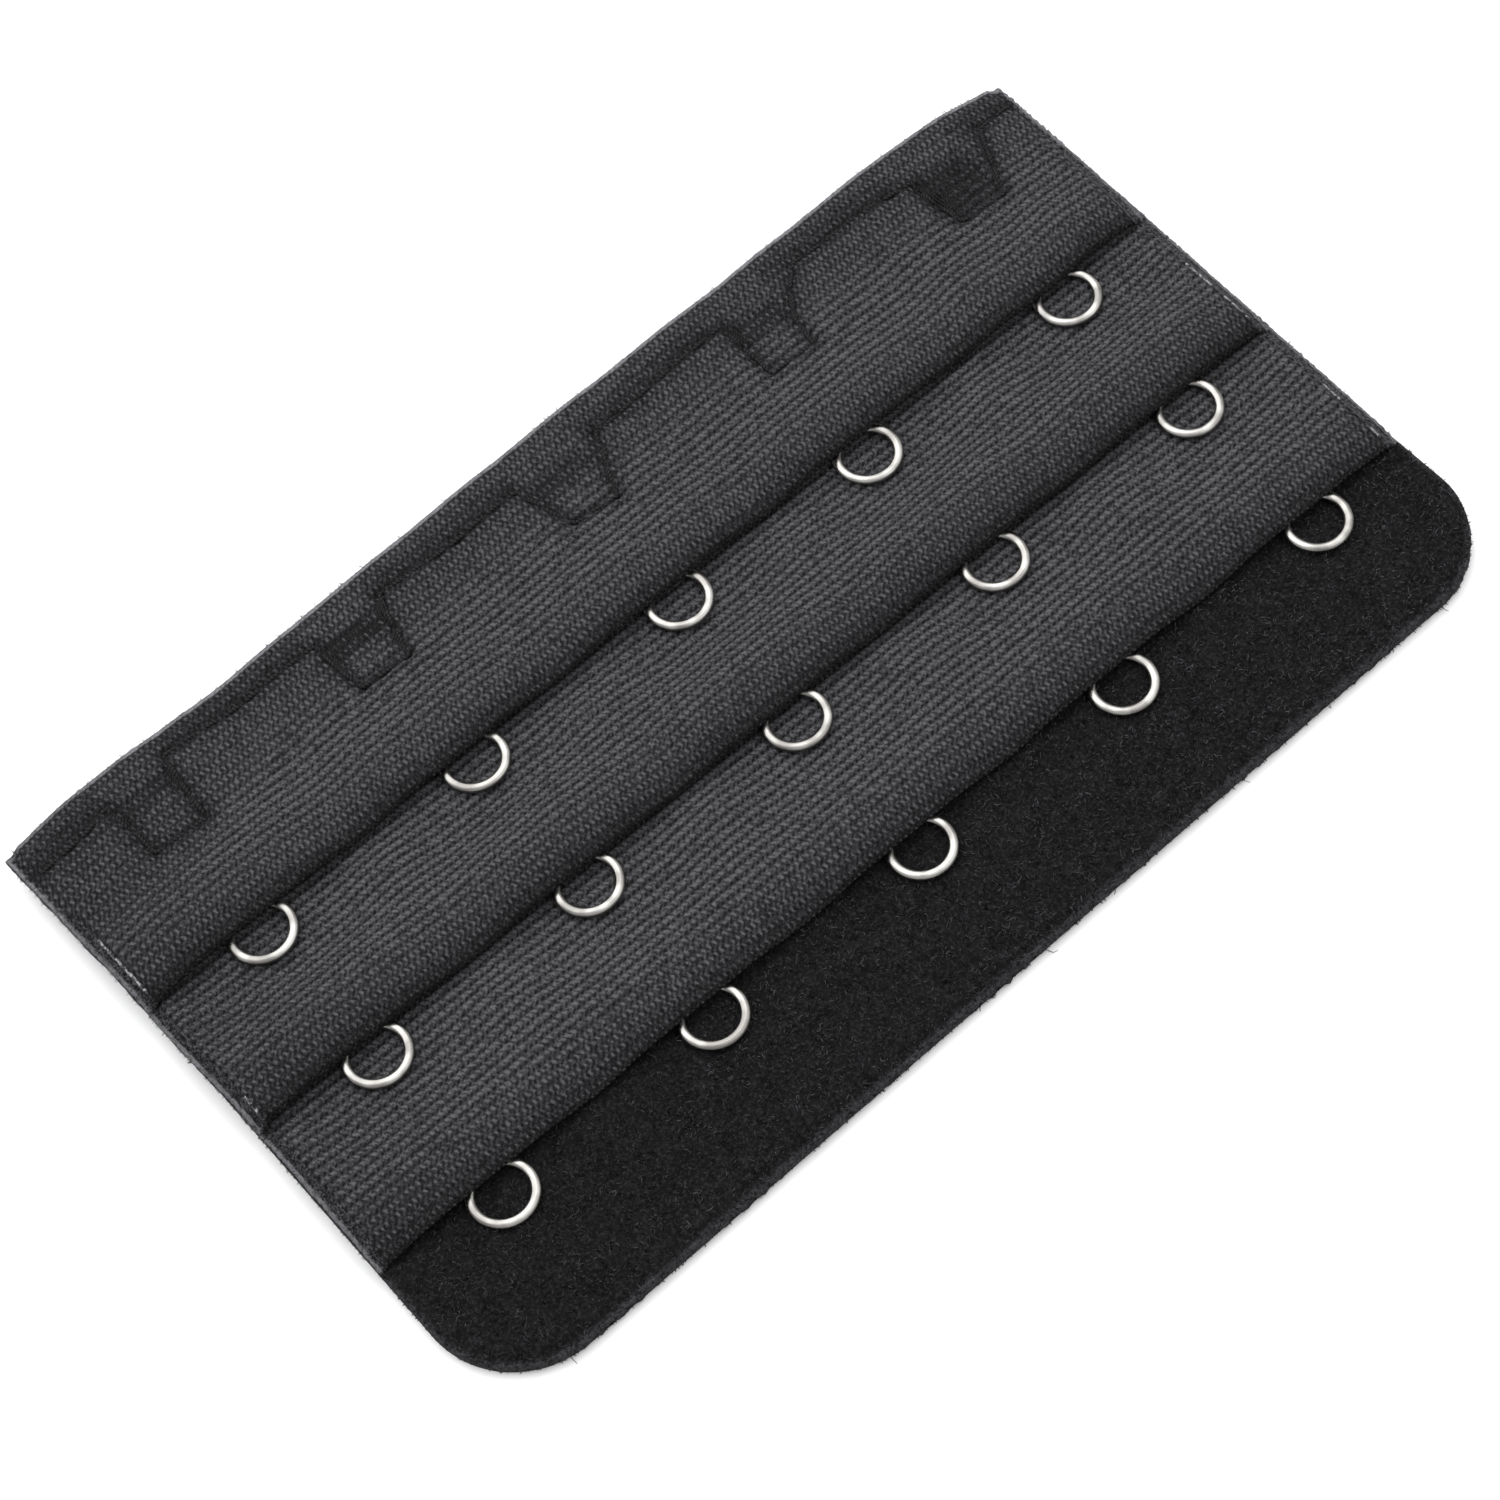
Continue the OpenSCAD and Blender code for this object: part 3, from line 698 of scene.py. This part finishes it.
def fleece_ends(y):
    """Where the fleece starts and ends along X, at a place along Y."""
    a = FLEECE_END - CORNER_R - (FLEECE_SKEW if y > 0 else 0)
    b = HALF_Y - CORNER_R
    over = max(0.0, abs(y) - b)
    round_end = a + math.sqrt(max(0.0, CORNER_R ** 2 - over ** 2))
    straight = FLEECE_END - FLEECE_SKEW * (y + b) / (2 * b)
    end = straight if over == 0 else round_end
    in_hidden = max(0.0, abs(y) - (HALF_Y - HIDDEN_R))
    start = FLEECE_START + HIDDEN_R - math.sqrt(max(0.0, HIDDEN_R ** 2 - in_hidden ** 2))
    return start, end


def fleece_inset(x, y):
    """Distance inside the fleece's outline."""
    a = FLEECE_END - CORNER_R - FLEECE_SKEW * (y > 0)
    b = HALF_Y - CORNER_R
    straight = FLEECE_END - FLEECE_SKEW * np.clip((y + b) / (2 * b), 0, 1)
    corner = (x > a) & (np.abs(y) > b)
    d = np.minimum(HALF_Y - np.abs(y), np.minimum(straight - x, x - FLEECE_START))
    return np.where(corner, CORNER_R - np.hypot(x - a, np.abs(y) - b), d)


def fleece_top(x, y):
    """The height of the fleece: lumpy where it shows, with a soft ridge along its edge."""
    d = np.maximum(fleece_inset(x, y), 0)
    inner = smooth(d / 0.6)
    lumps = 0.09 * waves(x, y, 21, 2.4, 9) + 0.06 * waves(x, y, 22, 1.1, 9)
    ridge = 0.12 * hump(d - 0.9, 0.5)
    shown = smooth((x - LAST_EDGE - 0.3) / 1.2)
    # The pile stands up beside the flap's edge, between the eyes
    beside = 0.16 * hump(x - LAST_EDGE - 0.15, 0.5) * (1 - near_row(y))
    return BACKING_T * pressed(d) + (lumps * shown + ridge * shown) * inner + beside * inner


def fleece():
    b = HALF_Y
    inner = b - CORNER_R
    ends = b - CORNER_R * (1 - np.sin(np.linspace(0, math.pi / 2, 26)))
    ys = np.concatenate([-ends[::-1], np.arange(-inner, inner, 0.5)[1:], ends])
    ys = np.unique(np.round(ys, 4))
    ys = np.concatenate([[-b + 0.001], ys[(ys > -b + 0.01) & (ys < b - 0.01)], [b - 0.001]])
    rows, rim = [], []
    for y in ys:
        start, end = fleece_ends(y)
        far = np.concatenate([np.linspace(start, LAST_EDGE, HIDDEN_POINTS)[:-1],
                              np.linspace(LAST_EDGE, end - RIM_W, SHOWN_POINTS)[:-1],
                              end - RIM_W * np.linspace(1, 0, RIM_POINTS) ** 1.5])
        here = np.full(len(far), y)
        top = fleece_top(far, here)
        side = np.linspace(top[-1], 0.12, WALL_POINTS + 2)[1:-1]
        bulge = 0.12 * np.sin(np.linspace(0, math.pi, WALL_POINTS + 2))[1:-1]
        under = np.linspace(end - 0.05, start + 0.05, FLOOR_POINTS)
        cut = 0.12 * waves(np.zeros(WALL_POINTS) + y, np.arange(WALL_POINTS) * 0.2, 24, 0.9)
        far = far + cut[0] * smooth(1 - (end - far) / 1.2)
        px = np.concatenate([far, end + 0.3 * bulge + cut, under])
        pz = np.concatenate([top, side, 0.1 + 0.03 * waves(under, y + 0 * under, 23, 3)])
        rows.append(np.stack([px, np.full(len(px), y), pz], 1))
        # The rim mask for the painted highlight along the fleece's rolled edge
        d = np.concatenate([fleece_inset(far, here), np.zeros(WALL_POINTS), np.full(FLOOR_POINTS, 3.0)])
        rim.append(hump(d, 0.3))
    rows = np.array(rows)
    return make("fleece_backing", rows.reshape(-1, 3), ring_faces(*rows.shape[:2]), FLEECE,
                rim=np.concatenate(rim))


backing = fleece()

# The points of a fibre, and the lowest that one may hang
KNOTS, LOWEST = 3, 0.03


def strands(name, roots, lean, seed, length, curl, thick=0.034, rim=0.0, gain=1.0):
    """Curly fibres from their roots, each leaning its own way."""
    rng = np.random.default_rng(seed)
    n = len(roots)
    size = length * rng.uniform(0.6, 1.4, n)
    heading = rng.normal(size=(n, 3)) * [1, 1, 0.35] + lean * 1.1
    heading /= np.linalg.norm(heading, axis=1, keepdims=True)
    turn = np.cross(heading, rng.normal(size=(n, 3)))
    turn /= np.linalg.norm(turn, axis=1, keepdims=True) + 1e-9
    path = [roots]
    for k in range(1, KNOTS):
        t = k / (KNOTS - 1)
        bend = curl * math.sin(2.6 * t) * rng.uniform(0.6, 1.3, (n, 1))
        path.append(roots + size[:, None] * (heading * t * (1 - 0.25 * t) + turn * bend * t))
    path = np.stack(path, 1)
    path[:, :, 2] = np.maximum(path[:, :, 2], LOWEST)
    radii = np.linspace(1, 0.55, KNOTS) * thick * rng.uniform(0.75, 1.25, (n, 1))
    points, faces, who = tubes(path, radii, 3)
    # Each fibre's tone is random; rim adds a painted highlight near the fleece's edge
    return make(name, points, faces, PILE, shade=np.clip(gain * rng.uniform(0, 1, n) + rim, 0, 1)[who])


def scatter(count, from_x, seed):
    """Random places on the fleece past from_x."""
    rng = np.random.default_rng(seed)
    x = rng.uniform(from_x, FLEECE_END, 2 * count)
    y = rng.uniform(-HALF_Y, HALF_Y, 2 * count)
    keep = fleece_inset(x, y) > 0.12
    return x[keep][:count], y[keep][:count]


def pile(name, count, seed, length):
    x, y = scatter(count, LAST_EDGE - 0.2, seed)
    roots = np.stack([x, y, fleece_top(x, y) - 0.05], 1)
    # Fibres near the fleece's edge are lighter: a painted highlight on its rim
    rim = 0.15 * smooth(1 - fleece_inset(x, y) / 0.6)
    return strands(name, roots, np.array([0.05, 0, 0.4]), seed + 1, length, curl=1.1, thick=0.04,
                   rim=rim, gain=0.95 + 0.12 * y / HALF_Y)


def pile_under():
    x, y = scatter(4000, FLEECE_START, 35)
    roots = np.stack([x, y, np.full(len(x), 0.12)], 1)
    return strands("fleece_pile_under", roots, np.array([0, 0, -0.25]), 36, length=0.9, curl=0.8)


def outline_points(count, seed, line):
    """Random places along a line, with the way out, and the generator that made them."""
    rng = np.random.default_rng(seed)
    step = np.hypot(*np.diff(line, axis=0).T)
    run = np.concatenate([[0], np.cumsum(step)])

    def at(t):
        return np.stack([np.interp(t, run, line[:, 0]), np.interp(t, run, line[:, 1])], 1)
    t = rng.uniform(0, run[-1], count)
    d = at(t + 0.05) - at(t - 0.05)
    d /= np.linalg.norm(d, axis=1, keepdims=True) + 1e-9
    return at(t), np.stack([d[:, 1], -d[:, 0], 0 * t], 1), rng


def pile_edge():
    ys = np.linspace(-HALF_Y + 0.001, HALF_Y - 0.001, 500)
    line = [(FLEECE_START, -HALF_Y)] + [(fleece_ends(y)[1], y) for y in ys] + [(FLEECE_START, HALF_Y)]
    at, out, rng = outline_points(5200, 37, np.array(line))
    high = BACKING_T * SEAL_SHARE
    roots = np.stack([*(at - 0.12 * out[:, :2]).T, rng.uniform(0.1, high + 0.1, len(at))], 1)
    # Fibres along the cut edge are a little lighter: a painted highlight
    return strands("fleece_pile_edge", roots, out * 0.8 + [0, 0, 0.1], 38, length=0.24, curl=1.0,
                   thick=0.045, rim=0.1)


def tape_fuzz():
    """Short ends of yarn along the cut sides of the tapes and along the hook edge."""
    roots, outs = [], []
    for c, way in [(c, w) for c in (1, 2, 3) for w in (-1, 1)]:
        a = sewn_edge_x(way * HALF_Y) + 0.7 if c == 1 else edge_x(c - 1)
        rng = np.random.default_rng(50 + 2 * c + way)
        x = rng.uniform(a, edge_x(c) - 0.4, 260 if c == 1 else 190)
        y = np.full(len(x), way * (HOOK_HALF_Y if c == 1 else HALF_Y))
        share = rng.uniform(0, 1, len(x))
        z = under_z(c, x, y) + share * thick(c, x, y, a - 0.3, edge_x(c))
        side_y = (spread(x, y) if c == 1 else y) * side_stretch(c, x, way)
        roots.append(np.stack([x, side_y - way * 0.05, z], 1))
        outs.append(np.stack([0 * x, np.full(len(x), way * 1.0), 0 * x + 0.1], 1))
    rng = np.random.default_rng(60)
    y = rng.uniform(-HOOK_HALF_Y + 0.7, HOOK_HALF_Y - 0.7, 900)
    x, share = sewn_edge_x(y) + 0.04, rng.uniform(0.3, 0.8, len(y))
    roots.append(np.stack([x, spread(x, y), under_z(1, x, y) + 0.75 * share], 1))
    outs.append(np.stack([0 * x - 1, 0 * x, 0 * x + 0.4], 1))
    return strands("tape_fuzz", np.concatenate(roots), np.concatenate(outs), 39, length=0.32,
                   curl=0.8, thick=0.03)


pile_top = pile("fleece_pile_top", count=13000, seed=31, length=0.45)
pile_low = pile("fleece_pile_low", count=11000, seed=33, length=0.35)
pile_below, pile_side, fuzz = pile_under(), pile_edge(), tape_fuzz()


# Thread
def top_z(x, y):
    """The height of the hook tape's top at a place that its flare has moved."""
    start, end = hook_edge_x(y), edge_x(1) + skewed(y)
    y0 = y / (1 + HOOK_FLARE / HOOK_HALF_Y * (edge_x(1) - x) / (HOOK_REACH - EYE_REVEAL))
    return under_z(1, x, y0) + thick(1, x, y0, start, end)


def stitches(path, pitch, seed, radius):
    """Short arched threads that dive into the cloth along a line."""
    rng = np.random.default_rng(seed)
    step = np.hypot(*np.diff(path, axis=0).T)
    run = np.concatenate([[0], np.cumsum(step)])
    count = int(run[-1] / pitch)
    taper = np.array([0.6, 0.9, 1, 1, 1, 0.9, 0.6])
    arch = np.sin(np.linspace(0, math.pi, len(taper)))
    out = []
    for k in range(count):
        a, b = (k + 0.03) * run[-1] / count, (k + 0.98) * run[-1] / count
        t = np.linspace(a, b, len(taper))
        x, y = np.interp(t, run, path[:, 0]), np.interp(t, run, path[:, 1])
        side = rng.normal(scale=0.03)
        z = top_z(x, y) - 0.4 + 0.3 * arch ** 0.6
        out.append(np.stack([x + side, y + side, z], 1))
    out = np.array(out)
    return out, np.full(out.shape[:2], radius) * taper


def thread_piece(name, groups, sides=6):
    """One piece from groups of threads, each group with its paths and radii."""
    points, walls, caps, twist, base = [], [], [], [], 0
    for paths, radii in groups:
        group_points, (group_walls, group_caps), _ = tubes(paths, radii, sides)
        m = paths.shape[1]
        length = np.linalg.norm(np.diff(paths, axis=1), axis=2).sum(1)[:, None, None]
        along = np.linspace(0, 1, m)[None, :, None] * length
        around = np.arange(sides)[None, None, :] / sides
        twist.append(np.stack(np.broadcast_arrays(along / 0.3, around * 2.0, 0 * around), -1).reshape(-1, 3))
        points.append(group_points)
        walls.append(group_walls + base)
        caps.append(group_caps + base)
        base += len(group_points)
    return make(name, np.concatenate(points), [np.concatenate(walls), np.concatenate(caps)], THREAD,
                twist=np.concatenate(twist))


def leg_threads():
    """The legs of the boxes are sewn over with threads that fan out."""
    return [stitches(leg, 2.6, 60 + k, 0.08) for k, leg in enumerate(leg_paths((-0.1, 0.15, 0.4, 0.65)))]


def tacks():
    """Close rows of thread over a box's half towards -X, and over the whole fifth box."""
    rng = np.random.default_rng(43)
    arch = 0.1 * np.sin(np.linspace(0, math.pi, 9)) ** 0.5
    out = []
    for r in ROW_NUMBERS:
        for k in range(20):
            y = hook_y(r) - 2.0 + 0.21 * k + rng.normal(scale=0.03)
            a = ring_x(r) - 2.7 + rng.uniform(-0.2, 0.2)
            b = ring_x(r) + (1.9 if r == 5 else -0.5) + rng.uniform(-0.5, 0.3)
            x = np.linspace(a, b, len(arch))
            z = top_z(x, np.full(len(arch), y)) - 0.13 + arch + 0.03 * np.sin(x * 5 + 3 * k)
            out.append(np.stack([x, y + 0.06 * np.sin(x * 2 + k), z], 1))
    out = np.array(out)
    return out, np.full(out.shape[:2], 0.07)


def ring_sewing():
    """Loops of thread that hold each hook's ring and shank to the tape, seen from below."""
    rng = np.random.default_rng(44)
    out = []
    t = np.linspace(0, math.pi, 8)
    z = HOOK_H - HOOK_WIRE_D / 2

    def sew(mid, across, wide):
        """One loop round the wire, whose ends go up into the tape."""
        loop = mid + across * np.cos(t)[:, None] - np.array([0, 0, wide]) * np.sin(t)[:, None]
        out.append(np.concatenate([[loop[0] + [0, 0, 0.55]], loop, [loop[-1] + [0, 0, 0.55]]]))
    for r in ROW_NUMBERS:
        for a in np.radians(np.concatenate([np.arange(-130, 131, 20), np.arange(-125, 126, 50)])):
            a = a + rng.normal(scale=0.04)
            wide = 0.5 + rng.uniform(0, 0.06)
            radial = np.array([math.cos(a), math.sin(a), 0])
            mid = np.array([ring_x(r), hook_y(r), z]) + radial * (RING_D - HOOK_WIRE_D) / 2
            sew(mid, radial * wide, wide)
        for k in range(4):
            sew(np.array([ring_x(r) - 2.6 - 0.22 * k, hook_y(r), z]), np.array([0, 0.5, 0]), 0.5)
    out = np.array(out)
    return out, np.full(out.shape[:2], 0.085)


box_stitches = thread_piece("box_stitches", [stitches(STITCHING, 1.85, 41, 0.17)] + leg_threads())
box_tacks = thread_piece("box_tacks", [tacks()], 4)
hook_sewing = thread_piece("hook_sewing", [ring_sewing()], 5)

# The eyes, whose wire is pressed wider and lower than it was drawn
PRESSED_W, PRESSED_H, EYE_SIDES = 1.1, 0.9, 14


def arc(x, y, r, start, stop, steps):
    """Points on a level arc, from one angle to another."""
    t = np.radians(np.linspace(start, stop, steps))
    return np.stack([x + r * np.cos(t), y + r * np.sin(t), 0 * t], 1)


def eye_path():
    """The middle of an eye's wire: a foot, the loop round the origin, and the other foot."""
    x = FOOT_OUT * math.cos(math.radians(FOOT_ANGLE))
    y = FOOT_OUT * math.sin(math.radians(FOOT_ANGLE))
    away = 180 - FOOT_ANGLE
    return np.concatenate([
        arc(x, -y, EYE_FOOT_R, away + FOOT_SWEEP, away, 22)[:-1],
        arc(0, 0, (EYE_D - WIRE_D) / 2, -FOOT_ANGLE, FOOT_ANGLE, 58),
        arc(x, y, EYE_FOOT_R, -away, -away - FOOT_SWEEP, 22)[1:],
    ])


def pressed_eye(name, node):
    """An eye with pressed wire, where the CAD model has its round wire."""
    box = np.array([node.matrix_world @ v.co for v in node.data.vertices]) / MM
    low, high = box.min(0), box.max(0)
    path = eye_path()
    points, faces, _ = tubes(path[None], np.full((1, len(path)), WIRE_D / 2), EYE_SIDES)
    middle = np.repeat(path, EYE_SIDES, axis=0)
    points = middle + (points - middle) * [PRESSED_W, PRESSED_W, PRESSED_H]
    place = [high[0] - EYE_D / 2, (low[1] + high[1]) / 2, low[2] + PRESSED_H * WIRE_D / 2]
    return make(name + "_pressed", points + place, faces, NICKEL)


# Finish, stage and camera
for node, piece in (("hook_tape", hook_cloth), ("middle_tape", middle_cloth), ("end_tape", end_cloth),
                    ("backing", backing)):
    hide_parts(node)
for piece in (hook_cloth, middle_cloth, end_cloth, backing, pile_top, pile_low, pile_below, pile_side, fuzz,
              box_stitches, box_tacks, hook_sewing):
    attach(piece, "root")
for name, node in list(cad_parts.items()):
    if name.startswith("eye_"):
        eye = pressed_eye(name, node)
        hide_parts(name)
        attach(eye, "root")
    elif name.startswith("hook_") and name != "hook_tape":
        node.data.materials.clear()
        node.data.materials.append(NICKEL)
        for face in node.data.polygons:
            face.use_smooth = True


def floor_material():
    s = Shader("studio_floor", Roughness=0.6, Specular_IOR_Level=0.2)
    base = s.blend((0.88, 0.88, 0.88, 1), (0.92, 0.92, 0.92, 1), s.noise(60, 2.0, 0.5))
    return s.finish(base)


REACH = 3000
corners = [(-REACH, -REACH, 0), (REACH, -REACH, 0), (REACH, REACH, 0), (-REACH, REACH, 0)]
floor = make("floor", corners, [[[0, 1, 2, 3]]], floor_material())

# A room that is brighter overhead than at the walls
WALL_LIGHT, OVERHEAD_LIGHT = 0.5, 1.05
world = bpy.data.worlds.new("studio")
world.use_nodes = True
sky = world.node_tree.nodes
height, ramp = sky.new("ShaderNodeSeparateXYZ"), sky.new("ShaderNodeMapRange")
ramp.inputs["To Min"].default_value = WALL_LIGHT
ramp.inputs["To Max"].default_value = OVERHEAD_LIGHT
world.node_tree.links.new(sky.new("ShaderNodeTexCoord").outputs["Generated"], height.inputs[0])
world.node_tree.links.new(height.outputs[2], ramp.inputs[0])
world.node_tree.links.new(ramp.outputs[0], sky["Background"].inputs["Strength"])
sky["Background"].inputs["Color"].default_value = (1, 1, 1, 1)
bpy.context.scene.world = world


def area_light(name, place, aim, size, power):
    data = bpy.data.lights.new(name, "AREA")
    data.shape, data.size, data.energy = "SQUARE", size, power
    light = bpy.data.objects.new(name, data)
    place, aim = Vector(place), Vector(aim)
    light.location = place
    light.rotation_euler = (aim - place).to_track_quat("-Z", "Y").to_euler()
    bpy.context.scene.collection.objects.link(light)


area_light("key", (-0.75, -0.1, 0.95), (0, 0, 0), 1.8, 20)
area_light("fill", (0.25, 0.45, 0.9), (0, 0, 0), 1.2, 4.5)

# The camera that was fitted to the eyes in the photo: its axes, place and focal length
RIGHT, DOWN, AHEAD = (0.6423, 0.7583, -0.1117), (0.631, -0.6059, -0.4846), (-0.4351, 0.2407, -0.8676)
CAMERA_PLACE, FOCAL_PIXELS, PHOTO_PIXELS, SENSOR = (122.47, -69.76, 240.05), 3856, 1500, 36
camera = bpy.data.objects.new("camera", bpy.data.cameras.new("camera"))
camera.data.sensor_width = SENSOR
camera.data.lens = SENSOR * FOCAL_PIXELS / PHOTO_PIXELS
camera.data.clip_start, camera.data.clip_end = 0.01, 20
turn = Matrix((RIGHT, [-v for v in DOWN], [-v for v in AHEAD])).transposed()
camera.matrix_world = Matrix.Translation(Vector(CAMERA_PLACE) * MM) @ turn.to_4x4()
bpy.context.scene.collection.objects.link(camera)
bpy.context.scene.camera = camera
bpy.context.scene.view_settings.view_transform = "Standard"
